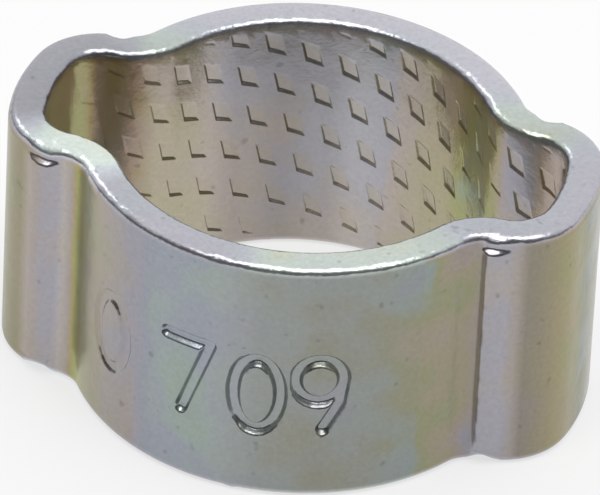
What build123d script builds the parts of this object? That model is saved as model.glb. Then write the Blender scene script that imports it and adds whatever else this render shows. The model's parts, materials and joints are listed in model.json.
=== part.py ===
"""Two-ear hose clamp: one closed steel band with two pinch ears and a gripping pattern inside.

Millimetres. The bore axis is +Z, the two ears reach along -X and +X, and the origin is the middle
of the lower rim, on which the clamp stands.
"""

from build123d import *
from math import acos, atan2, ceil, cos, degrees, hypot, pi, sin, sqrt
import os

# ---- driving dimensions ----------------------------------------------------------------------
bore_radius = 4.5  # hose seat of the open clamp, a 9 mm bore
band_thickness = 0.9
band_width = 6.6
edge_radius = 0.25  # the four long edges of the band are rounded
edge_steps = 4  # each rounding is drawn as this many narrow conical courses

ear_reach = 7.05  # from the bore axis to the outside of an ear's crown
ear_width = 5.05  # across the outside of an ear's two shoulders
bend_radius = 0.85  # inside of each tight bend: two necks and two shoulders per ear
crown_radius = 5.0  # the crown bulges a little, measured on the middle of the sheet

dent_rows = 10  # inclined rows of dents, spread evenly round the inside wall
row_drop = 0.297  # a row falls by this much from one dent to the next
dents_per_turn = 4  # dents of one row before the next row stands above the same spot
column_lean = 0.225  # the steep direction of the pattern leans back by this much per unit of height
dent_share = 0.45  # side of a dent as a share of the pitch along the same direction
dent_depth = 0.08
dent_slope = 0.06  # how far each side wall of a dent leans inward on its way down
first_dent_along = -2.28  # middle of one dent: distance round the wall from the back, toward +X
first_dent_height = 3.87  # and its height above the lower rim

# ---- worked out from them --------------------------------------------------------------------
half_sheet = band_thickness / 2
ring_middle = bore_radius + half_sheet
bend_middle = bend_radius + half_sheet

shoulder_y = ear_width / 2 - bend_radius - band_thickness
crown_x = ear_reach - half_sheet - crown_radius
shoulder_x = crown_x + sqrt((crown_radius - bend_middle) ** 2 - shoulder_y**2)

# The neck bend touches the ring from outside and the shoulder bend from outside, so its centre is
# the tip of a triangle that stands on the line from the bore axis to the shoulder's centre.
shoulder_far = hypot(shoulder_x, shoulder_y)
neck_far = ring_middle + bend_middle
tip_cosine = (neck_far**2 + shoulder_far**2 - (2 * bend_middle) ** 2) / (2 * neck_far * shoulder_far)
neck_angle = atan2(shoulder_y, shoulder_x) + acos(tip_cosine)
neck_x = neck_far * cos(neck_angle)
neck_y = neck_far * sin(neck_angle)


def bend_list():
    """The band's middle line as arcs, clockwise from the back (+Y): centre, radius, start, sweep.

    Angles are in radians, a negative sweep turns clockwise. The last item says on which side of
    the arc its centre lies: +1 where it lies inside the band, -1 at the necks, where it is outside.
    """
    to_shoulder = atan2(shoulder_y - neck_y, shoulder_x - neck_x)
    from_crown = atan2(shoulder_y, shoulder_x - crown_x)
    ring_sweep = pi / 2 - neck_angle
    neck_sweep = (to_shoulder + 2 * pi) - (neck_angle + pi)
    shoulder_sweep = (to_shoulder + pi) - from_crown
    quarter = [
        (0, 0, ring_middle, pi / 2, -ring_sweep, 1),
        (neck_x, neck_y, bend_middle, neck_angle + pi, neck_sweep, -1),
        (shoulder_x, shoulder_y, bend_middle, to_shoulder + pi, -shoulder_sweep, 1),
        (crown_x, 0, crown_radius, from_crown, -from_crown, 1),
    ]
    mirrored = [(x, -y, r, -(start + sweep), sweep, side) for x, y, r, start, sweep, side in quarter]
    right_half = quarter + mirrored[::-1]
    left_half = [(-x, -y, r, start + pi, sweep, side) for x, y, r, start, sweep, side in right_half]
    return right_half + left_half


def wall_face(offset):
    """The area inside the band's middle line moved outward by offset."""
    edges = []
    for x, y, radius, start, sweep, side in bend_list():
        r = radius + side * offset
        edges.append(CenterArc((x, y), r, degrees(start), degrees(sweep)))
    return make_face(Wire(edges))


def inside_length():
    """Length of the inside wall, once round."""
    return sum((r - side * half_sheet) * abs(sweep) for _, _, r, _, sweep, side in bend_list())


def inside_point(along):
    """Plan point and inward normal at a distance along the inside wall from the back, toward +X."""
    left = along % inside_length()
    for x, y, radius, start, sweep, side in bend_list():
        r = radius - side * half_sheet
        if left <= r * abs(sweep):
            break
        left -= r * abs(sweep)
    angle = start + (left / r) * (1 if sweep > 0 else -1)
    point = (x + r * cos(angle), y + r * sin(angle))
    normal = (-side * cos(angle), -side * sin(angle))
    return point, normal


def rim_course(step):
    """One course of the lower rim's rounding: both walls lean toward each other on its way down."""
    low_turn = step / edge_steps * pi / 2
    high_turn = (step + 1) / edge_steps * pi / 2
    low_inset = edge_radius * (1 - sin(low_turn))
    high_inset = edge_radius * (1 - sin(high_turn))
    bottom = Pos(0, 0, edge_radius * (1 - cos(low_turn)))
    top = Pos(0, 0, edge_radius * (1 - cos(high_turn)))
    low_half = half_sheet - low_inset
    high_half = half_sheet - high_inset
    outside = loft([bottom * wall_face(low_half), top * wall_face(high_half)], ruled=True)
    inside = loft([bottom * wall_face(-low_half), top * wall_face(-high_half)], ruled=True)
    return outside - inside


def formed_band():
    """The bare band: the sheet's section, as wide as the band, with its long edges rounded."""
    section = wall_face(half_sheet) - wall_face(-half_sheet)
    band = Pos(0, 0, edge_radius) * extrude(section, band_width - 2 * edge_radius)
    for step in range(edge_steps):
        course = rim_course(step)
        band = band + course + mirror(course, about=Plane.XY.offset(band_width / 2))
    return band


def dent_cutter(row_step, row_gap):
    """One dent as a body: a slanted four-sided pit, x round the wall, y up it, z out of it."""
    side_a = (row_step[0] * dent_share, row_step[1] * dent_share)
    side_b = (row_gap[0] * dent_share, row_gap[1] * dent_share)

    def outline(shrink, height):
        a = 1 - 2 * shrink / hypot(*side_a)
        b = 1 - 2 * shrink / hypot(*side_b)
        corners = []
        for i, j in ((-0.5, -0.5), (0.5, -0.5), (0.5, 0.5), (-0.5, 0.5)):
            across = a * i * side_a[0] + b * j * side_b[0]
            up = a * i * side_a[1] + b * j * side_b[1]
            corners.append((across, up, height))
        return make_face(Polyline(*corners, close=True))

    lift = dent_depth  # the cutter starts this far inside the bore, clear of the curved wall
    mouth = outline(-dent_slope * lift / dent_depth, lift)
    floor = outline(dent_slope, -dent_depth)
    return loft([floor, mouth])


def dent_cutters():
    """Every whole dent of the pattern, placed on the inside wall."""
    row_pitch = inside_length() / dent_rows
    gap_height = dents_per_turn * row_drop
    lean_along = column_lean * gap_height
    step_along = (row_pitch + lean_along) / dents_per_turn
    row_step = (step_along, -row_drop)
    row_gap = (-lean_along, gap_height)
    half_height = dent_share * (row_drop + gap_height) / 2
    margin = edge_radius + 0.05 + half_height
    cutter = dent_cutter(row_step, row_gap)
    steps = ceil(band_width / row_drop)
    placed = []
    for row in range(dent_rows):
        for step in range(-steps, steps + 1):
            height = first_dent_height - step * row_drop
            if not margin < height < band_width - margin:
                continue
            along = first_dent_along + row * row_pitch + step * step_along
            (x, y), normal = inside_point(along)
            round_wall = (-normal[1], normal[0], 0)
            spot = Plane(origin=(x, y, height), x_dir=round_wall, z_dir=(normal[0], normal[1], 0))
            placed.append(spot * cutter)
    return placed


clamp_band = formed_band() - dent_cutters()

os.makedirs("parts", exist_ok=True)
export_step(clamp_band, "parts/clamp_band.step")
print("clamp_band volume", round(clamp_band.volume, 2), "mm3")
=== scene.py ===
# %% [markdown]
# This file dresses a two-ear hose clamp: one strip of zinc-plated steel, closed into a ring, with
# an ear folded out at each side and a gripping pattern of slanted dents pressed into its inside.
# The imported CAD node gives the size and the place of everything. It is loaded first, and nothing
# may leave its box.

# %% Load the frame
import json
from math import acos, atan2, cos, hypot, pi, radians, sin, sqrt

import bmesh
import bpy
from mathutils import Matrix, Vector


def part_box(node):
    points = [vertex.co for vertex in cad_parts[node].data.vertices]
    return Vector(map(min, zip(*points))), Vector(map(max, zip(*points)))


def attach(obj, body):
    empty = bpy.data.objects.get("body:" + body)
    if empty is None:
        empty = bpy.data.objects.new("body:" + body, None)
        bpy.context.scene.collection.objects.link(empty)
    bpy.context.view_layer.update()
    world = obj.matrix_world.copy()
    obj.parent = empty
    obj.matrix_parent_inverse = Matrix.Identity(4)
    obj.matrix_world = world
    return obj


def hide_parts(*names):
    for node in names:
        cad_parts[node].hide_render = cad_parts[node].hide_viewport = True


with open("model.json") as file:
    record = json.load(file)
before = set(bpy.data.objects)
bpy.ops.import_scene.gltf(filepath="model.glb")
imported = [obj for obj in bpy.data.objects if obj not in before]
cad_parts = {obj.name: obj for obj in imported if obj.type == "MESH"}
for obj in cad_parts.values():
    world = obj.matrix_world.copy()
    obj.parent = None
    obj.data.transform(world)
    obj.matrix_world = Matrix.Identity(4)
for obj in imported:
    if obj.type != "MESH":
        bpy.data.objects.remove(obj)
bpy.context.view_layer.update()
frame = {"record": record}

# %% [markdown]
# The clamp is only 14 mm long. Many operators have thresholds that suit an object of a metre, so
# the band is modelled in millimetres and brought to metres in its last step. The bore comes from
# the record, the width and the reach from the node's box, and the bends are named here once.

# %% Sizes of the band, in millimetres
low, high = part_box("clamp_band")
band_width = (high[2] - low[2]) * 1000
ear_reach = (high[0] - low[0]) * 500  # from the middle of the bore to the outside of an ear
seat = [m for m in frame["record"]["mounts"] if m["name"] == "hose_seat"][0]
bore_radius = seat["dims"]["r_mm"]
band_thickness = (high[1] - low[1]) * 500 - bore_radius
edge_radius = 0.25  # of the rounded long edges
bend_radius = 0.85  # on the hollow side of a neck or a shoulder
crown_radius = 5.0  # of an ear's bulged end, on the middle of the sheet
ear_width = 5.05  # outside, across the ear
print(f"bore {2 * bore_radius:.2f}, band {band_width:.2f} x {band_thickness:.2f}")
print(f"reach of an ear {ear_reach:.2f}")


# %% [markdown]
# Seen from above, the band is a chain of arcs that meet without a corner: the ring, a neck that
# turns out of it, a shoulder that turns back, and a slightly bulged crown. One quarter is worked
# out, and the other three are its mirror images. The inside wall is the line that the strip is
# bent along, because the dents keep their spacing on that side.

# %% The bends, and a point at any distance along the inside wall
def quarter_bends():
    """One quarter, from the back of the ring to an ear's crown.

    Each bend has a centre, the radius of its inside wall, a start angle, a sweep, and a side: 1
    where the sheet lies outside that wall's circle, -1 where it lies within.
    """
    half_sheet = band_thickness / 2
    ring = bore_radius + half_sheet
    bend = bend_radius + half_sheet
    shoulder_y = ear_width / 2 - bend_radius - band_thickness
    crown_x = ear_reach - half_sheet - crown_radius
    shoulder_x = crown_x + sqrt((crown_radius - bend) ** 2 - shoulder_y ** 2)
    shoulder_far = hypot(shoulder_x, shoulder_y)
    neck_far = ring + bend
    tip = (neck_far ** 2 + shoulder_far ** 2 - 4 * bend ** 2) / (2 * neck_far * shoulder_far)
    neck_angle = atan2(shoulder_y, shoulder_x) + acos(tip)
    neck_x, neck_y = neck_far * cos(neck_angle), neck_far * sin(neck_angle)
    to_shoulder = atan2(shoulder_y - neck_y, shoulder_x - neck_x)
    from_crown = atan2(shoulder_y, shoulder_x - crown_x)
    return [
        (0, 0, ring - half_sheet, pi / 2, neck_angle - pi / 2, 1),
        (neck_x, neck_y, bend + half_sheet, neck_angle + pi, to_shoulder + pi - neck_angle, -1),
        (shoulder_x, shoulder_y, bend - half_sheet, to_shoulder + pi,
         from_crown - to_shoulder - pi, 1),
        (crown_x, 0, crown_radius - half_sheet, from_crown, -from_crown, 1),
    ]


def all_bends():
    """The whole chain: the quarter, its mirror image, and both again half a turn on."""
    quarter = quarter_bends()
    mirrored = [(x, -y, r, -(start + sweep), sweep, side)
                for x, y, r, start, sweep, side in quarter]
    right = quarter + mirrored[::-1]
    left = [(-x, -y, r, start + pi, sweep, side) for x, y, r, start, sweep, side in right]
    return right + left


bends = all_bends()
inside_length = sum(r * abs(sweep) for _, _, r, _, sweep, _ in bends)


def in_plan(along, out):
    """Plan point at a distance along the inside wall and a depth out into the sheet."""
    left = along % inside_length
    for x, y, r, start, sweep, side in bends:
        if left <= r * abs(sweep):
            break
        left -= r * abs(sweep)
    angle = start + (left / r) * (1 if sweep > 0 else -1)
    reach = r + side * out
    return x + reach * cos(angle), y + reach * sin(angle)


print("inside wall, once round:", round(inside_length, 3), "mm")

# %% [markdown]
# Edit-mode work needs a few small helpers: one that starts a piece with nothing else selected, and
# two that select vertices or border edges by where they are. Selecting by place keeps the steps
# readable and makes them hold when a size changes.

# %% Helpers for edit mode
same_height = 1e-4  # heights closer than this are taken as one


def start_clean():
    """Leave edit mode and deselect everything, CAD nodes too."""
    if bpy.context.object and bpy.context.object.mode != "OBJECT":
        bpy.ops.object.mode_set(mode="OBJECT")
    bpy.ops.object.select_all(action="DESELECT")


def make_active(piece):
    start_clean()
    piece.select_set(True)
    bpy.context.view_layer.objects.active = piece


def edit(piece, kind="VERT"):
    make_active(piece)
    bpy.ops.object.mode_set(mode="EDIT")
    bpy.ops.mesh.select_mode(type=kind)
    bpy.ops.mesh.select_all(action="DESELECT")


def pick(piece, test):
    """Select the vertices, or what lies wholly between them, whose place passes the test."""
    cage = bmesh.from_edit_mesh(piece.data)
    for vertex in cage.verts:
        vertex.select = bool(test(vertex.co))
    cage.select_flush(True)
    bmesh.update_edit_mesh(piece.data)


def pick_border(piece, height):
    """Select only the edges of the open border that lies at a height."""
    bpy.ops.mesh.select_all(action="DESELECT")
    cage = bmesh.from_edit_mesh(piece.data)
    for edge in cage.edges:
        level = all(abs(v.co.z - height) < same_height for v in edge.verts)
        edge.select = edge.is_boundary and level
    bmesh.update_edit_mesh(piece.data)


def apply_all(piece):
    make_active(piece)
    for modifier in list(piece.modifiers):
        bpy.ops.object.modifier_apply(modifier=modifier.name)


print("helpers ready, heights told apart to", same_height, "mm")

# %% [markdown]
# The grip is a lattice: rows of dents that fall as they go round, ten rows to a turn. One cell of
# the lattice is modelled, a slanted tile with a pit in its middle, and two Array modifiers lay it
# out. Bump would be cheaper, but the pits are deep enough to hide part of their own walls, so they
# are real. The tile's grid lines run along the walls of the pit and crowd together there, which
# keeps the walls crisp and leaves the plain parts with few faces.

# %% One tile of the grip
dent_rows = 10
dents_per_pitch = 4  # of one row, for each step along to the next row
row_drop = 0.297  # from one dent to the next
column_lean = 0.225  # sideways for each millimetre up
dent_depth = 0.038  # at the middle of a pit
floor_tilt = 1.4  # a pit is deepest in its lower corner, where the tooth bit in first
row_pitch = inside_length / dent_rows
tile_rise = dents_per_pitch * row_drop
tile_lean = column_lean * tile_rise
tile_step = (row_pitch + tile_lean) / dents_per_pitch
along_row = Vector((tile_step, 0, -row_drop))
up_column = Vector((-tile_lean, 0, tile_rise))

# Places on the tile are shares of its side, counted from its middle
wall_from, wall_to = 0.18, 0.25  # where a pit's side wall lies
floor_reach = 0.2  # how far its floor goes on tilting
half_stations = (0.165, 0.18, 0.2, 0.23, 0.25, 0.268, 0.5)  # grid lines on one half
stations = tuple(-share for share in reversed(half_stations)) + (0.0,) + half_stations


def rise(share):
    """0 on the floor of a pit, 1 on the plain wall, even between."""
    return min(1, max(0, (abs(share) - wall_from) / (wall_to - wall_from)))


def on_floor(share):
    return min(floor_reach, max(-floor_reach, share))


def add_tile():
    start_clean()
    cuts = len(stations) - 1
    bpy.ops.mesh.primitive_grid_add(x_subdivisions=cuts, y_subdivisions=cuts, size=cuts)
    tile = bpy.context.object
    tile.name = "clamp_band_skin"
    for vertex in tile.data.vertices:
        a = stations[round(vertex.co.x + cuts / 2)]
        b = stations[round(vertex.co.y + cuts / 2)]
        tilted = 1 - floor_tilt * (on_floor(a) + on_floor(b))
        depth = dent_depth * tilted * (1 - max(rise(a), rise(b)))
        vertex.co = along_row * a + up_column * b + Vector((0, depth, 0))
    return tile


band = add_tile()
print("one tile:", len(band.data.polygons), "faces,", round(tile_step, 3), "mm along its row")

# %% [markdown]
# The rows are laid out flat, as the strip is before it is formed: along x the distance round the
# clamp, along y the thickness, 0 on the inside, and along z the height. The pattern is cut to the
# strip's length and to the straight part of its height.

# %% Lay out the grip and cut it to the strip
seam_at = 13.0  # the strip's ends meet here, on the front of the ring beside a neck
first_dent_along = -2.28  # the dent that the others are counted from
first_dent_height = 3.87
tiles_in_row = 30  # enough for a row to fall through the whole height
tiles_above = 13  # of these, above the first dent
rows_before, rows_after = 9, 2  # rows past the strip's ends, because each one runs on beyond them
weld_gap = 0.002  # tiles this close are joined


def lay_out_tiles():
    corner = Vector((first_dent_along - seam_at + inside_length, 0, first_dent_height))
    corner -= along_row * tiles_above
    corner.x = corner.x % row_pitch - rows_before * row_pitch
    for vertex in band.data.vertices:
        vertex.co += corner
    rows = rows_before + dent_rows + rows_after
    for count, offset in ((tiles_in_row, along_row), (rows, Vector((row_pitch, 0, 0)))):
        array = band.modifiers.new("repeat", "ARRAY")
        array.count = count
        array.use_relative_offset = False
        array.use_constant_offset = True
        array.constant_offset_displace = offset
        array.use_merge_vertices = True
        array.merge_threshold = weld_gap
    apply_all(band)


def cut_to_strip():
    """Four cuts, each given as a place on its plane and the side that falls away."""
    edit(band)
    cuts = (
        ((0, 0, edge_radius), (0, 0, -1)),
        ((0, 0, band_width - edge_radius), (0, 0, 1)),
        ((0, 0, 0), (-1, 0, 0)),
        ((inside_length, 0, 0), (1, 0, 0)),
    )
    for place, direction in cuts:
        bpy.ops.mesh.select_all(action="SELECT")
        bpy.ops.mesh.bisect(plane_co=place, plane_no=direction, clear_outer=True, threshold=0.00001)
    bpy.ops.object.mode_set(mode="OBJECT")


# Where the grip is faint: middle along the inside wall, half the length, share of the depth left
faint_stretches = ((8.32, 1.5, 0.6), (24.96, 2.0, 0.15), (4.3, 0.7, 0.4))
settled_width = 0.3  # beside each rounded edge, until the dents have their whole depth


def settle_dents():
    """Flatten the grip by the rims and in the ears, which are formed after it is pressed."""
    for vertex in band.data.vertices:
        from_rim = min(vertex.co.z, band_width - vertex.co.z) - edge_radius
        keep = min(1, max(0, from_rim / settled_width))
        for middle, reach, left_over in faint_stretches:
            away = abs((vertex.co.x + seam_at) % inside_length - middle)
            keep *= left_over + (1 - left_over) * min(1, max(0, (away - reach) / reach))
        vertex.co.y *= keep


lay_out_tiles()
cut_to_strip()
settle_dents()
print("inside wall:", len(band.data.polygons), "faces")

# %% [markdown]
# Each long edge of the strip is rounded. Extruding the border in a few steps, each one turned a
# little further, makes the quarter round with faces that follow the wall's own vertices.

# %% Round the edges of the inside wall
round_steps = 4


def round_long_edges(wall, outward):
    """Carry on both long borders round a quarter circle, out (1) or in (-1) through the sheet."""
    edit(wall, "EDGE")
    for height, upward in ((edge_radius, -1), (band_width - edge_radius, 1)):
        pick_border(wall, height)
        reached = Vector((0, 0, 0))
        for step in range(1, round_steps + 1):
            angle = step / round_steps * pi / 2
            target = Vector((0, outward * (1 - cos(angle)), upward * sin(angle))) * edge_radius
            bpy.ops.mesh.extrude_edges_move(TRANSFORM_OT_translate={"value": target - reached})
            reached = target
    bpy.ops.object.mode_set(mode="OBJECT")


round_long_edges(band, 1)
print("with its rounded edges:", len(band.data.polygons), "faces")

# %% [markdown]
# The outside wall is smooth apart from its stamped numerals. It is a plain grid, and only the
# squares under the numerals are subdivided, because a stamped stroke is less than half a
# millimetre wide and needs many faces across it, while the rest of the wall needs only enough to
# bend well.

# %% The outside wall as a grid
column_width = 0.1
row_height = 0.15
rows_by_rim = (0.0, 0.04, 0.08, 0.12, 0.16, 0.22)  # closer together there, for the ledges


def outside_heights():
    """Heights of the grid's rows, the same from both rims."""
    reach = band_width / 2 - edge_radius
    plain = round((reach - rows_by_rim[-1]) / row_height)
    pitch = (reach - rows_by_rim[-1]) / plain
    lower = [edge_radius + step for step in rows_by_rim]
    lower += [lower[-1] + pitch * k for k in range(1, plain + 1)]
    return lower + [band_width - height for height in reversed(lower[:-1])]


def add_outside():
    start_clean()
    columns = round(inside_length / column_width)
    heights = outside_heights()
    rows = len(heights) - 1
    bpy.ops.mesh.primitive_grid_add(x_subdivisions=columns, y_subdivisions=rows, size=1)
    wall = bpy.context.object
    wall.name = "outside_wall"
    for vertex in wall.data.vertices:
        along = (vertex.co.x + 0.5) * inside_length
        height = heights[round((vertex.co.y + 0.5) * rows)]
        vertex.co = (along, band_thickness, height)
    round_long_edges(wall, -1)
    return wall


outside = add_outside()
print("outside wall:", len(outside.data.polygons), "faces")

# %% [markdown]
# The stamp leaves plain numerals with soft-edged strokes. A stroke is a chain of points made from
# lines and arcs, and a vertex sinks by how near it is to the chain. The depth follows a smooth
# step, 3 s s - 2 s s s, which leaves the surface and meets the bottom without an edge, as metal
# does when a worn punch is pressed into it. A Boolean would cut sharp edges and leave long faces.

# %% The numerals as strokes
numeral_height = 2.0  # between the middles of the top and bottom strokes
numeral_width = 1.15
stroke_reach = 0.2  # half the width of a stroke, over which the metal dips
stroke_wall = 0.6  # share of that half width which its sloping wall takes
stroke_depth = 0.14
arc_steps = 24


def arc_stroke(x, y, half_width, half_height, start, sweep):
    """Points along part of an ellipse, angles in degrees."""
    points = []
    for step in range(arc_steps + 1):
        angle = radians(start + sweep * step / arc_steps)
        points.append((x + half_width * cos(angle), y + half_height * sin(angle)))
    return points


def numeral(digit):
    """Strokes of a digit round its own middle."""
    w, h = numeral_width / 2, numeral_height / 2
    strokes = {
        "0": [arc_stroke(0, 0, w, h, 0, 360)],
        "7": [[(-w, h), (w, h), (-0.2 * w, -h)]],
        "9": [arc_stroke(0, 0.4 * h, w, 0.6 * h, 0, 360),
              [(w, 0.4 * h), (0.85 * w, -0.3 * h), (0.2 * w, -h)]],
    }
    return strokes[digit]


def gap_to_chain(x, y, chain):
    """Shortest distance from a point to a chain of straight pieces."""
    best = float("inf")
    for (x0, y0), (x1, y1) in zip(chain, chain[1:]):
        dx, dy = x1 - x0, y1 - y0
        share = ((x - x0) * dx + (y - y0) * dy) / (dx * dx + dy * dy)
        share = min(1, max(0, share))
        best = min(best, hypot(x - x0 - share * dx, y - y0 - share * dy))
    return best


# Digit, distance of its middle along the inside wall, height above the lower rim, share of the
# depth. A distance below 0 is counted the other way round. The first digit is nearly worn away.
stamped = (
    ("0", -13.55, 2.95, 0.5), ("7", -15.55, 3.0, 1.0),
    ("0", -17.0, 2.9, 1.2), ("9", 15.05, 3.0, 1.1))
fine_margin = 0.12  # round a numeral, where the squares are still subdivided
fine_cuts = 4
outside_stretch = (bore_radius + band_thickness) / bore_radius


def near_numeral(co, spare):
    """The numeral that a place on the outside wall belongs to, and the place within it."""
    for digit, along, height, strength in stamped:
        middle = (along - seam_at) % inside_length
        x = (middle - co.x) * outside_stretch
        y = co.z - height
        if abs(x) < numeral_width / 2 + spare and abs(y) < numeral_height / 2 + spare:
            return digit, x, y, strength
    return None


def stamp_numerals():
    edit(outside, "FACE")
    pick(outside, lambda co: near_numeral(co, stroke_reach + fine_margin))
    bpy.ops.mesh.subdivide(number_cuts=fine_cuts)
    bpy.ops.object.mode_set(mode="OBJECT")
    for vertex in outside.data.vertices:
        found = near_numeral(vertex.co, stroke_reach)
        if not found:
            continue
        digit, x, y, strength = found
        gap = min(gap_to_chain(x, y, chain) for chain in numeral(digit)) / stroke_reach
        if gap < 1:
            sunk = min(1, (1 - gap) / stroke_wall)
            vertex.co.y -= stroke_depth * strength * sunk * sunk * (3 - 2 * sunk)


stamp_numerals()
print("with the numerals:", len(outside.data.polygons), "faces")

# %% [markdown]
# The two walls are joined and their borders are bridged across the rims while everything is still
# flat, because borders are easy to pick there: all their vertices lie at one height.

# %% Join the walls and bridge the rims
def join_walls():
    make_active(band)
    outside.select_set(True)
    bpy.ops.object.join()
    edit(band, "EDGE")
    for height in (0, band_width):
        pick_border(band, height)
        bpy.ops.mesh.bridge_edge_loops()
    bpy.ops.object.mode_set(mode="OBJECT")


join_walls()
print("both walls and the rims:", len(band.data.polygons), "faces")

# %% [markdown]
# The plating's look follows the strip and not the room, so the flat strip's own coordinates are
# kept before it is bent: a UV map for the distance round and the height, and two attributes for
# what a map of the surface can't hold. One says how far in the sheet a vertex lies, the other how
# deep in a dent.

# %% Keep the strip's own coordinates
pit_reach = 0.2  # the dents lie within this of the inside wall
pit_floor = 0.03  # from this depth on a vertex counts as wholly in a dent


def unroll():
    strip = band.data.uv_layers.new(name="strip")
    for loop in band.data.loops:
        co = band.data.vertices[loop.vertex_index].co
        strip.data[loop.index].uv = (co.x / inside_length, co.z / band_width)
    depth = band.data.attributes.new("toward_inside", "FLOAT", "POINT")
    pit = band.data.attributes.new("in_a_dent", "FLOAT", "POINT")
    for vertex in band.data.vertices:
        depth.data[vertex.index].value = min(1, max(0, 1 - vertex.co.y / band_thickness))
        from_rim = min(vertex.co.z, band_width - vertex.co.z)
        if vertex.co.y < pit_reach and from_rim > edge_radius:
            pit.data[vertex.index].value = min(1, vertex.co.y / pit_floor)


unroll()
print("kept:", band.data.uv_layers[0].name, "and", [a.name for a in band.data.attributes][-2:])

# %% [markdown]
# Where the sheet folds tightly, the metal on its outside has nowhere to go. It is squeezed out
# into a low pleat, which ends in a ledge below each rim and catches the light there. The vertices
# near a fold are lifted by how near they are to it in plan, which needs no new faces.

# %% Ledges at the folds, and a nick
# Middle along the inside wall, reach to each side, and how far it stands out. The last is the nick.
ledges = (
    (6.22, 0.4, 0.16), (10.43, 0.38, 0.16), (23.07, 0.45, 0.17), (27.08, 0.4, 0.16),
    (16.71, 0.2, -0.05))
ledge_top = 0.3  # below the rim
ledge_slope = 0.12  # further down it stands out in full
ledge_crest = 1.5  # above 1 its middle is level, like a table
rim_sink = 0.8  # share of the ledge by which the rim above it is drawn in
sink_reach = 0.5  # below the rim
still_skin = 0.05  # the inside wall, which the folding doesn't lift


def fold_ledges():
    for along, reach, height in ledges:
        fold = in_plan(along, band_thickness)
        for vertex in band.data.vertices:
            if vertex.co.y < still_skin:
                continue
            here = in_plan(vertex.co.x + seam_at, vertex.co.y)
            apart = hypot(here[0] - fold[0], here[1] - fold[1]) / reach
            if apart > 1:
                continue
            near = min(1, ledge_crest * (1 - apart ** 2) ** 2)
            across = vertex.co.y / band_thickness
            from_rim = min(vertex.co.z, band_width - vertex.co.z)
            below = min(1, max(0, (from_rim - ledge_top) / ledge_slope))
            vertex.co.y += height * near * across * below
            sink = rim_sink * height * near * across ** 2 * max(0, 1 - from_rim / sink_reach)
            vertex.co.z += sink if vertex.co.z < band_width / 2 else -sink


fold_ledges()
print("ledges and nicks:", len(ledges))

# %% [markdown]
# Now the strip is bent: each vertex keeps its height, and its thickness is laid off square to the
# inside wall. A Curve modifier does the same along a path, but it rounds the short bends, so the
# vertices are placed on the true arcs instead. Where the ends meet they are merged, and the band
# comes to metres.

# %% Bend the strip and close it
seam_gap = 0.0005
metres = 0.001  # in a millimetre


def bend_strip():
    for vertex in band.data.vertices:
        x, y = in_plan(vertex.co.x + seam_at, vertex.co.y)
        vertex.co = (x, y, vertex.co.z)


def close_and_finish():
    edit(band)
    bpy.ops.mesh.select_all(action="SELECT")
    bpy.ops.mesh.remove_doubles(threshold=seam_gap)
    bpy.ops.mesh.normals_make_consistent(inside=False)
    bpy.ops.object.mode_set(mode="OBJECT")
    for vertex in band.data.vertices:
        vertex.co *= metres
    make_active(band)
    bpy.ops.object.shade_smooth()


bend_strip()
close_and_finish()
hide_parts("clamp_band")
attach(band, "root")
cage = bmesh.new()
cage.from_mesh(band.data)
print("open edges:", sum(edge.is_boundary for edge in cage.edges), "faces:", len(cage.faces),
      "triangles:", len(cage.calc_loop_triangles()))
cage.free()

# %% [markdown]
# The camera stands well back with a long lens, so the clamp is drawn almost without perspective.
# Its axes are worked out from three angles and written into its matrix, which is plainer than a
# constraint and holds when the scene is exported.

# %% Camera
looked_at = Vector((-0.0072, 0, 3.245)) * metres
camera_turn = 0.2389
camera_rise = 0.6423
camera_roll = 0.0514
camera_distance = 0.2475
camera_lens = 630.1
sensor_width = 36


def place_camera():
    flat = cos(camera_rise)
    back = Vector((sin(camera_turn) * flat, -cos(camera_turn) * flat, sin(camera_rise)))
    level = Vector((cos(camera_turn), sin(camera_turn), 0))
    upright = back.cross(level)
    right = level * cos(camera_roll) + upright * sin(camera_roll)
    up = upright * cos(camera_roll) - level * sin(camera_roll)
    data = bpy.data.cameras.new("camera")
    data.lens = camera_lens
    data.sensor_width = sensor_width
    camera = bpy.data.objects.new("camera", data)
    bpy.context.scene.collection.objects.link(camera)
    place = looked_at + back * camera_distance
    camera.matrix_world = Matrix((
        (right.x, up.x, back.x, place.x),
        (right.y, up.y, back.y, place.y),
        (right.z, up.z, back.z, place.z),
        (0, 0, 0, 1),
    ))
    bpy.context.scene.camera = camera


place_camera()
print("camera", round(camera_distance * 1000), "mm away")

# %% [markdown]
# The table is a plain white disc. It takes the clamp's shadow as any white does, and glows in part
# for the eye and for reflections, so that it looks white without more light on the metal. Light
# Path tells those rays from the rest. Math nodes turn up all over a material, so they get a helper.

# %% Table
table_radius = 0.6
table_grey = 0.84
table_glow = 0.65  # share of plain white glow


def math_in(tree):
    """Give back a short way to add Math nodes: calc("ADD", a, b) is the socket of the sum."""
    def calc(operation, *values):
        node = tree.nodes.new("ShaderNodeMath")
        node.operation = operation
        for socket, value in zip(node.inputs, values):
            if isinstance(value, (int, float)):
                socket.default_value = value
            else:
                tree.links.new(value, socket)
        return node.outputs[0]
    return calc


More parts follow.
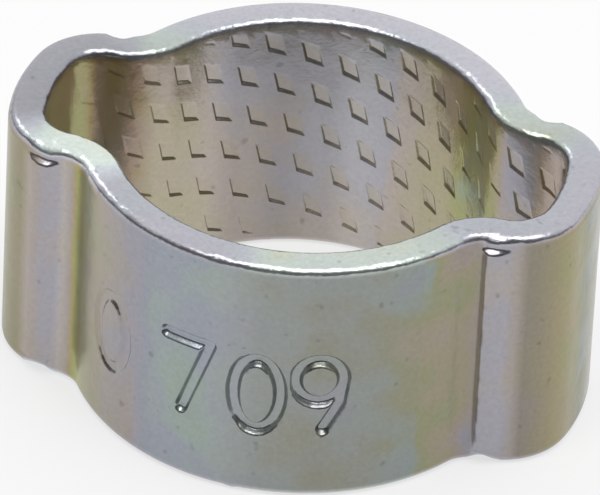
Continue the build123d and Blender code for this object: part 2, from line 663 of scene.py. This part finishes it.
def table_white():
    material = bpy.data.materials.new("table_white")
    material.use_nodes = True
    nodes, links = material.node_tree.nodes, material.node_tree.links
    calc = math_in(material.node_tree)
    shader = nodes["Principled BSDF"]
    shader.inputs["Base Color"].default_value = (table_grey, table_grey, table_grey, 1)
    shader.inputs["Roughness"].default_value = 1.0
    shader.inputs["Specular IOR Level"].default_value = 0.0
    glow = nodes.new("ShaderNodeEmission")
    glow.inputs["Color"].default_value = (1, 1, 1, 1)
    ray = nodes.new("ShaderNodeLightPath").outputs
    seen = calc("MAXIMUM", ray["Is Camera Ray"], ray["Is Glossy Ray"])
    seen = calc("MAXIMUM", seen, ray["Is Transmission Ray"])
    mixed = nodes.new("ShaderNodeMixShader")
    links.new(calc("MULTIPLY", seen, table_glow), mixed.inputs[0])
    links.new(shader.outputs[0], mixed.inputs[1])
    links.new(glow.outputs[0], mixed.inputs[2])
    links.new(mixed.outputs[0], nodes["Material Output"].inputs["Surface"])
    return material


def add_table():
    start_clean()
    bpy.ops.mesh.primitive_circle_add(vertices=64, radius=table_radius, fill_type="NGON")
    table = bpy.context.object
    table.name = "table"
    table.data.materials.append(table_white())


add_table()
print("table", round(2 * table_radius, 2), "m across")

# %% [markdown]
# Polished metal shows what stands round it, so the studio is part of its look: a large soft lamp
# overhead, a small one on the left, a bright wall behind and a darker room on the camera's side,
# which draws the dark line under the front rim. The room is a gradient in the world, because it
# only has to be seen in the metal.

# %% Lamps and room
# Name, place, length and width, power
lamps = (
    ("overhead", (0.03, -0.09, 0.3), (0.34, 0.14), 0.46),
    ("left", (-0.16, 0.1, 0.16), (0.06, 0.06), 0.03))
lamp_aim = Vector((0, 0, 0.003))
bright_side = (0, 0.6, 0.8)  # direction of the wall, behind and above
room_dim, room_bright = 0.06, 1.0
bright_from = 0.7  # of the way from level to that direction


def add_lamp(name, place, size, power):
    data = bpy.data.lights.new(name, "AREA")
    data.shape = "RECTANGLE"
    data.size, data.size_y = size
    data.energy = power
    lamp = bpy.data.objects.new(name, data)
    bpy.context.scene.collection.objects.link(lamp)
    lamp.location = place
    lamp.rotation_euler = (Vector(place) - lamp_aim).to_track_quat("Z", "Y").to_euler()


def add_room():
    world = bpy.data.worlds.new("studio")
    world.use_nodes = True
    bpy.context.scene.world = world
    nodes, links = world.node_tree.nodes, world.node_tree.links
    direction = nodes.new("ShaderNodeTexCoord")
    toward_wall = nodes.new("ShaderNodeVectorMath")
    toward_wall.operation = "DOT_PRODUCT"
    toward_wall.inputs[1].default_value = bright_side
    level = nodes.new("ShaderNodeValToRGB")
    ramp = level.color_ramp
    ramp.interpolation = "EASE"
    for stop, at, grey in zip(ramp.elements, (0.0, bright_from), (room_dim, room_bright)):
        stop.position, stop.color = at, (grey, grey, grey, 1)
    links.new(direction.outputs["Generated"], toward_wall.inputs[0])
    links.new(toward_wall.outputs["Value"], level.inputs["Fac"])
    links.new(level.outputs["Color"], nodes["Background"].inputs["Color"])


add_room()
for lamp in lamps:
    add_lamp(*lamp)
bpy.context.scene.view_settings.view_transform = "Standard"

# %% [markdown]
# Zinc plating with a clear passivation is grey with a faint rainbow: the film on it is so thin that
# its colour turns from violet to green with its thickness. So the thickness is what is written
# down, in rounds of the colours, and a ramp turns it into a colour. Places run from 0 to 1 once
# round the strip from the seam, and the bends, where the film was stretched, have their own values.

# %% The film: its colours, and how thick it lies
film_colors = (
    (0.00, (0.48, 0.47, 0.52)),  # lavender
    (0.15, (0.45, 0.47, 0.51)),  # blue grey
    (0.32, (0.45, 0.50, 0.47)),  # pale aqua
    (0.50, (0.46, 0.46, 0.33)),  # olive
    (0.66, (0.51, 0.47, 0.37)),  # straw
    (0.82, (0.52, 0.465, 0.43)),  # salmon
    (1.00, (0.48, 0.47, 0.52)),
)
outside_film = (
    (0.0, 1.38), (0.06, 1.34), (0.11, 1.25), (0.145, 1.3), (0.165, 1.22), (0.185, 0.9),
    (0.205, 0.78), (0.225, 0.62), (0.24, 0.52), (0.258, 0.5), (0.28, 0.85), (0.3, 1.0),
    (0.306, 0.85), (0.314, 0.6), (0.335, 0.52), (0.36, 0.45), (0.45, 0.9), (0.55, 1.35),
    (0.68, 0.75), (0.78, 1.2), (0.866, 0.36), (0.893, 0.62), (0.911, 0.72), (0.917, 0.98),
    (0.93, 0.96), (0.947, 0.8), (0.98, 0.62), (1.0, 0.42))
inside_film = (
    (0.0, 0.5), (0.15, 0.9), (0.25, 0.4), (0.33, 0.48), (0.4, 0.52), (0.408, 0.58), (0.413, 0.82),
    (0.435, 0.78), (0.45, 0.68), (0.48, 0.72), (0.53, 0.9), (0.6, 0.96), (0.63, 1.02),
    (0.65, 0.76), (0.67, 0.64), (0.69, 0.7), (0.715, 0.54), (0.745, 0.47), (0.76, 0.52),
    (0.772, 0.88), (0.79, 0.94), (0.8, 0.76), (0.83, 0.72), (0.865, 0.55), (0.9, 0.7), (1.0, 0.5))
rim_film = (
    (0.0, 1.3), (0.09, 1.3), (0.13, 1.0), (0.23, 1.04), (0.25, 1.3), (0.3, 1.3), (0.33, 1.0),
    (0.42, 1.02), (0.46, 1.25), (0.52, 1.0), (0.72, 1.0), (0.76, 1.28), (0.8, 1.3), (0.83, 1.0),
    (0.96, 1.04), (1.0, 1.3))
print("stops of the film:", len(outside_film), "outside,", len(inside_film), "inside")

# %% How strong the colours are, and how much the film wanders from place to place
outside_strength = (
    (0.0, 1.1), (0.04, 0.6), (0.1, 0.6), (0.14, 1.6), (0.165, 1.5), (0.2, 0.8), (0.23, 1.3),
    (0.25, 2.2), (0.265, 2.2), (0.28, 0.9), (0.3, 1.1), (0.33, 1.8), (0.4, 1.5), (0.5, 1.0),
    (0.8, 1.0), (0.86, 1.3), (0.895, 1.7), (0.912, 1.0), (0.94, 1.0), (0.955, 1.3), (1.0, 1.3))
inside_strength = (
    (0.0, 1.0), (0.3, 1.5), (0.35, 1.9), (0.405, 1.8), (0.413, 2.4), (0.435, 2.3), (0.46, 1.2),
    (0.5, 1.1), (0.62, 0.8), (0.65, 1.1), (0.69, 1.4), (0.715, 2.2), (0.75, 2.2), (0.77, 1.2),
    (0.8, 1.6), (0.85, 1.5), (1.0, 1.0))
outside_wander = (
    (0.0, 1.3), (0.04, 0.7), (0.2, 0.6), (0.25, 0.3), (0.3, 0.4), (0.37, 0.4), (0.42, 0.7),
    (0.85, 0.7), (0.9, 0.4), (0.935, 0.5), (0.95, 1.2), (1.0, 1.5))
inside_wander = ((0.0, 0.6), (0.3, 0.35), (0.45, 0.35), (0.5, 0.5), (0.7, 0.5), (1.0, 0.5))
print("strongest colour:", max(value for _, value in outside_strength + inside_strength))

# %% Painted light and shade on the plating, round the strip: 0.5 is plain
outside_painted_light = (
    (0.0, 0.44), (0.06, 0.43), (0.09, 0.45), (0.13, 0.55), (0.155, 0.56), (0.19, 0.5),
    (0.225, 0.5), (0.243, 0.6), (0.257, 0.62), (0.275, 0.56), (0.29, 0.64), (0.305, 0.55),
    (0.315, 0.43), (0.335, 0.34), (0.4, 0.43), (0.6, 0.5), (0.84, 0.37), (0.866, 0.33),
    (0.893, 0.48), (0.911, 0.37), (0.9155, 0.56), (0.933, 0.56), (0.9365, 0.64), (0.94, 0.44),
    (1.0, 0.45))
inside_painted_light = (
    (0.0, 0.5), (0.3, 0.4), (0.35, 0.34), (0.405, 0.4), (0.412, 0.34), (0.435, 0.36),
    (0.46, 0.46), (0.5, 0.46), (0.53, 0.36), (0.56, 0.31), (0.59, 0.36), (0.615, 0.46),
    (0.64, 0.45), (0.66, 0.44), (0.69, 0.44), (0.73, 0.38), (0.8, 0.43), (0.85, 0.45), (1.0, 0.5))
# Painted highlights on the rims, brightest at the necks
rim_painted_light = (
    (0.0, 0.64), (0.09, 0.64), (0.13, 0.5), (0.22, 0.5), (0.25, 0.8), (0.3, 0.78), (0.33, 0.37),
    (0.42, 0.4), (0.47, 0.56), (0.75, 0.58), (0.86, 0.5), (0.94, 0.5), (1.0, 0.6))
# Where the forming tool scuffed the outside, along the two front folds
fold_lines = (
    (0.0, 0.0), (0.2455, 0.0), (0.248, 1.0), (0.2505, 0.0), (0.931, 0.0), (0.9335, 1.0),
    (0.9355, 0.0), (1.0, 0.0))
print("dullest and brightest:", min(value for _, value in outside_painted_light + inside_painted_light),
      max(value for _, value in outside_painted_light + rim_painted_light))

# %% [markdown]
# The material reads these tables through colour ramps. A ramp's colours are kept between 0 and 1,
# so it holds half of each value, and the half is doubled or allowed for where it is used. Noise
# textures on the object's own coordinates add what has no place of its own on the strip.

# %% Helpers for the plating's nodes
def value_ramp(tree, name, stops):
    node = tree.nodes.new("ShaderNodeValToRGB")
    node.name = node.label = name
    ramp = node.color_ramp
    ramp.interpolation = "EASE"
    while len(ramp.elements) > 1:
        ramp.elements.remove(ramp.elements[-1])
    for number, (position, value) in enumerate(stops):
        stop = ramp.elements[0] if number == 0 else ramp.elements.new(position)
        stop.position = position
        color = value if isinstance(value, tuple) else (value, value, value)
        stop.color = (*color, 1)
    return node


def noise(tree, where, scale, detail, roughness):
    node = tree.nodes.new("ShaderNodeTexNoise")
    node.inputs["Scale"].default_value = scale
    node.inputs["Detail"].default_value = detail
    node.inputs["Roughness"].default_value = roughness
    tree.links.new(where, node.inputs["Vector"])
    return node.outputs["Fac"]


def stretched(tree, value, from_low, from_high, to_low=0.0, to_high=1.0):
    """Spread part of a value's range over another range, and stop at its ends."""
    node = tree.nodes.new("ShaderNodeMapRange")
    node.inputs["From Min"].default_value = from_low
    node.inputs["From Max"].default_value = from_high
    node.inputs["To Min"].default_value = to_low
    node.inputs["To Max"].default_value = to_high
    tree.links.new(value, node.inputs["Value"])
    return node


def half_along(tree, on, name, stops):
    """Half of a value that changes round the strip."""
    ramp = value_ramp(tree, name, [(at, value / 2) for at, value in stops])
    tree.links.new(on["along"], ramp.inputs["Fac"])
    return ramp.outputs["Color"]


def half_round(tree, on, name, outside_stops, inside_stops):
    """The same for a value that changes one way outside and another way inside."""
    mixed = tree.nodes.new("ShaderNodeMix")
    tree.links.new(on["inside"], mixed.inputs["Factor"])
    tree.links.new(half_along(tree, on, name + " outside", outside_stops), mixed.inputs["A"])
    tree.links.new(half_along(tree, on, name + " inside", inside_stops), mixed.inputs["B"])
    return mixed.outputs["Result"]


def over_the_rim(tree, on, wall_value, rim_value):
    """Go over from the walls' value to the rim's own as the edge turns."""
    calc = math_in(tree)
    return calc("MULTIPLY_ADD", calc("SUBTRACT", rim_value, wall_value), on["rim"], wall_value)


print("longest ramp:", max(map(len, (outside_film, inside_film, outside_painted_light))), "of 32 stops")

# %% Where a point lies on the strip
rim_full_at = 0.3  # share of the rounded edge that is left where the rim's own look is full


def strip_places(tree):
    """Sockets for the place in space, along the strip, up it, through it, in a dent, on a rim."""
    nodes, links = tree.nodes, tree.links
    calc = math_in(tree)
    strip = nodes.new("ShaderNodeUVMap")
    strip.uv_map = "strip"
    split = nodes.new("ShaderNodeSeparateXYZ")
    links.new(strip.outputs["UV"], split.inputs[0])
    inner = nodes.new("ShaderNodeAttribute")
    inner.attribute_name = "toward_inside"
    pit = nodes.new("ShaderNodeAttribute")
    pit.attribute_name = "in_a_dent"
    off_middle = calc("ABSOLUTE", calc("SUBTRACT", split.outputs["Y"], 0.5))
    rim_from = 0.5 - edge_radius / band_width
    rim_full = 0.5 - rim_full_at * edge_radius / band_width
    rim = stretched(tree, off_middle, rim_from, rim_full)
    rim.interpolation_type = "SMOOTHSTEP"
    return {
        "place": nodes.new("ShaderNodeTexCoord").outputs["Object"],
        "along": split.outputs["X"], "height": split.outputs["Y"],
        "inside": inner.outputs["Fac"], "dent": pit.outputs["Fac"],
        "rim": rim.outputs["Result"],
    }


print("a rounded edge takes", round(100 * edge_radius / band_width, 1), "% of the strip's height")

# %% [markdown]
# The film's thickness is the sum of the table's value, large soft patches, small spots and a drift
# from one rim to the other on the inside. What is over a whole round starts the colours again. In
# the dents the colour is mixed with a warm brown.

# %% Colour of the film
# Each noise has a scale, detail and roughness
patch_noise = (480, 1.0, 0.5)
spot_noise = (1900, 2.0, 0.6)
spot_span = 0.16
rise_span = 0.2  # the drift up the inside wall
rim_calm = 0.6  # how much less the film wanders on the rims
dent_color = (0.52, 0.46, 0.37, 1)
dent_share = 0.5


def film_color(tree, on):
    nodes, links = tree.nodes, tree.links
    calc = math_in(tree)
    film = calc("MULTIPLY", half_round(tree, on, "film", outside_film, inside_film), 2)
    on_rim = calc("MULTIPLY", half_along(tree, on, "film on the rim", rim_film), 2)
    film = over_the_rim(tree, on, film, on_rim)
    wander = calc("MULTIPLY", half_round(tree, on, "wander", outside_wander, inside_wander), 2)
    patches = calc("SUBTRACT", noise(tree, on["place"], *patch_noise), 0.5)
    patches = calc("MULTIPLY", patches, wander)
    patches = calc("MULTIPLY", patches, calc("MULTIPLY_ADD", on["rim"], -rim_calm, 1.0))
    spots = noise(tree, on["place"], *spot_noise)
    spots = calc("MULTIPLY_ADD", spots, spot_span, -spot_span / 2)
    drift = calc("MULTIPLY_ADD", on["height"], rise_span, -rise_span / 2)
    drift = calc("MULTIPLY", drift, on["inside"])
    for part in (patches, spots, drift):
        film = calc("ADD", film, part)
    tint = value_ramp(tree, "film colour", film_colors)
    links.new(calc("FRACT", film), tint.inputs["Fac"])

    strength = half_round(tree, on, "strength", outside_strength, inside_strength)
    strength = over_the_rim(tree, on, calc("MULTIPLY", strength, 2), 1.0)
    stronger = nodes.new("ShaderNodeHueSaturation")
    links.new(strength, stronger.inputs["Saturation"])
    links.new(tint.outputs["Color"], stronger.inputs["Color"])
    warmer = nodes.new("ShaderNodeMix")
    warmer.data_type = "RGBA"
    warmer.inputs["B"].default_value = dent_color
    links.new(calc("MULTIPLY", on["dent"], dent_share), warmer.inputs["Factor"])
    links.new(stronger.outputs["Color"], warmer.inputs["A"])
    return warmer.outputs["Result"]


print("film colours:", len(film_colors) - 1, "round to the first again")

# %% [markdown]
# The painted light and shade is multiplied into the colour. The table paints it round the strip,
# lighter where highlights fall and darker where shade falls, and the inside and the rims are
# painted brighter than the outside, though the plating is the same all over. Noise adds the fine
# mottle of the zinc, a few dark specks, and the broken lines that the forming tool left along the
# folds.

# %% Shine of the plating
# Painted light: the same plating is painted brighter inside and on the rims than outside
outside_light_gain, inside_light_gain = 2.8, 4.2  # bring half of a table's value to the brightness meant
rim_light_gain = 3.9
mottle_noise = (9000, 3.0, 0.7)
mottle_span, mottle_least = 0.3, 0.85
speck_noise = (3100, 1.0, 0.5)
speck_from, speck_to, speck_dark = 0.7, 0.8, 0.75
scuff_noise = (2300, 2.0, 0.6)
scuff_from, scuff_to, scuff_dark = 0.5, 0.6, 0.8


def painted_light_and_marks(tree, on):
    calc = math_in(tree)
    # Painted light and shade from the tables, then the zinc's mottle, specks and scuffs
    light_and_marks = half_round(tree, on, "light_and_marks", outside_painted_light, inside_painted_light)
    gain = calc("MULTIPLY_ADD", on["inside"], inside_light_gain - outside_light_gain, outside_light_gain)
    light_and_marks = calc("MULTIPLY", light_and_marks, gain)
    on_rim = half_along(tree, on, "shine on the rim", rim_painted_light)
    light_and_marks = over_the_rim(tree, on, light_and_marks, calc("MULTIPLY", on_rim, rim_light_gain))
    mottle = noise(tree, on["place"], *mottle_noise)
    light_and_marks = calc("MULTIPLY", light_and_marks, calc("MULTIPLY_ADD", mottle, mottle_span, mottle_least))
    specks = noise(tree, on["place"], *speck_noise)
    specks = stretched(tree, specks, speck_from, speck_to, 1.0, speck_dark)
    light_and_marks = calc("MULTIPLY", light_and_marks, specks.outputs["Result"])
    scuffs = stretched(tree, noise(tree, on["place"], *scuff_noise), scuff_from, scuff_to)
    lines = half_along(tree, on, "folds", fold_lines)
    scuffs = calc("MULTIPLY", scuffs.outputs["Result"], lines)
    return calc("MULTIPLY", light_and_marks, calc("MULTIPLY_ADD", scuffs, -scuff_dark, 1.0))


print("gain inside over outside:", round(inside_light_gain / outside_light_gain, 2))

# %% [markdown]
# Under the film the steel isn't flat: the rolling mill and the bath leave shallow waves and a fine
# grain, and the rounded rims are rolled unevenly. All of it is far too low to model, so it is
# bump, and it bends the reflections a little.

# %% Grain and waves of the skin
grain_noise = (9000, 4.0, 0.65)
wave_noise = (700, 2.0, 0.5)
rolled_noise = (3000, 2.0, 0.5)
wave_height = 6.0  # against the grain's 1
skin_bump = 0.5
skin_relief = 0.000012


def skin_normal(tree, on):
    calc = math_in(tree)
    grain = noise(tree, on["place"], *grain_noise)
    waves = noise(tree, on["place"], *wave_noise)
    height = calc("MULTIPLY_ADD", waves, wave_height, grain)
    rolled = calc("MULTIPLY", noise(tree, on["place"], *rolled_noise), on["rim"])
    height = calc("MULTIPLY_ADD", rolled, wave_height, height)
    bump = tree.nodes.new("ShaderNodeBump")
    bump.inputs["Strength"].default_value = skin_bump
    bump.inputs["Distance"].default_value = skin_relief
    tree.links.new(height, bump.inputs["Height"])
    return bump.outputs["Normal"]


print("skin relief", skin_relief * 1000, "mm")

# %% [markdown]
# The parts come together in one material. It is nearly all metal, and its roughness changes from
# place to place, so that the lamps' reflections have soft and crisp stretches. Only one material
# uses these effects, so they need no node group.

# %% Plated steel
steel_metallic = 0.85
gloss_noise = (900, 3.0, 0.6)
gloss_span, gloss_least = 0.16, 0.14


def plated_steel():
    material = bpy.data.materials.new("plated_steel")
    material.use_nodes = True
    tree = material.node_tree
    shader = tree.nodes["Principled BSDF"]
    shader.inputs["Metallic"].default_value = steel_metallic
    on = strip_places(tree)
    # The film's colour times the painted light and shade, with the mottle, specks and scuffs
    lit = tree.nodes.new("ShaderNodeMix")
    lit.data_type = "RGBA"
    lit.blend_type = "MULTIPLY"
    lit.inputs["Factor"].default_value = 1
    tree.links.new(film_color(tree, on), lit.inputs["A"])
    tree.links.new(painted_light_and_marks(tree, on), lit.inputs["B"])
    tree.links.new(lit.outputs["Result"], shader.inputs["Base Color"])
    gloss = noise(tree, on["place"], *gloss_noise)
    rough = math_in(tree)("MULTIPLY_ADD", gloss, gloss_span, gloss_least)
    tree.links.new(rough, shader.inputs["Roughness"])
    tree.links.new(skin_normal(tree, on), shader.inputs["Normal"])
    return material


band.data.materials.append(plated_steel())
print("plated steel:", len(band.data.materials[0].node_tree.nodes), "nodes")
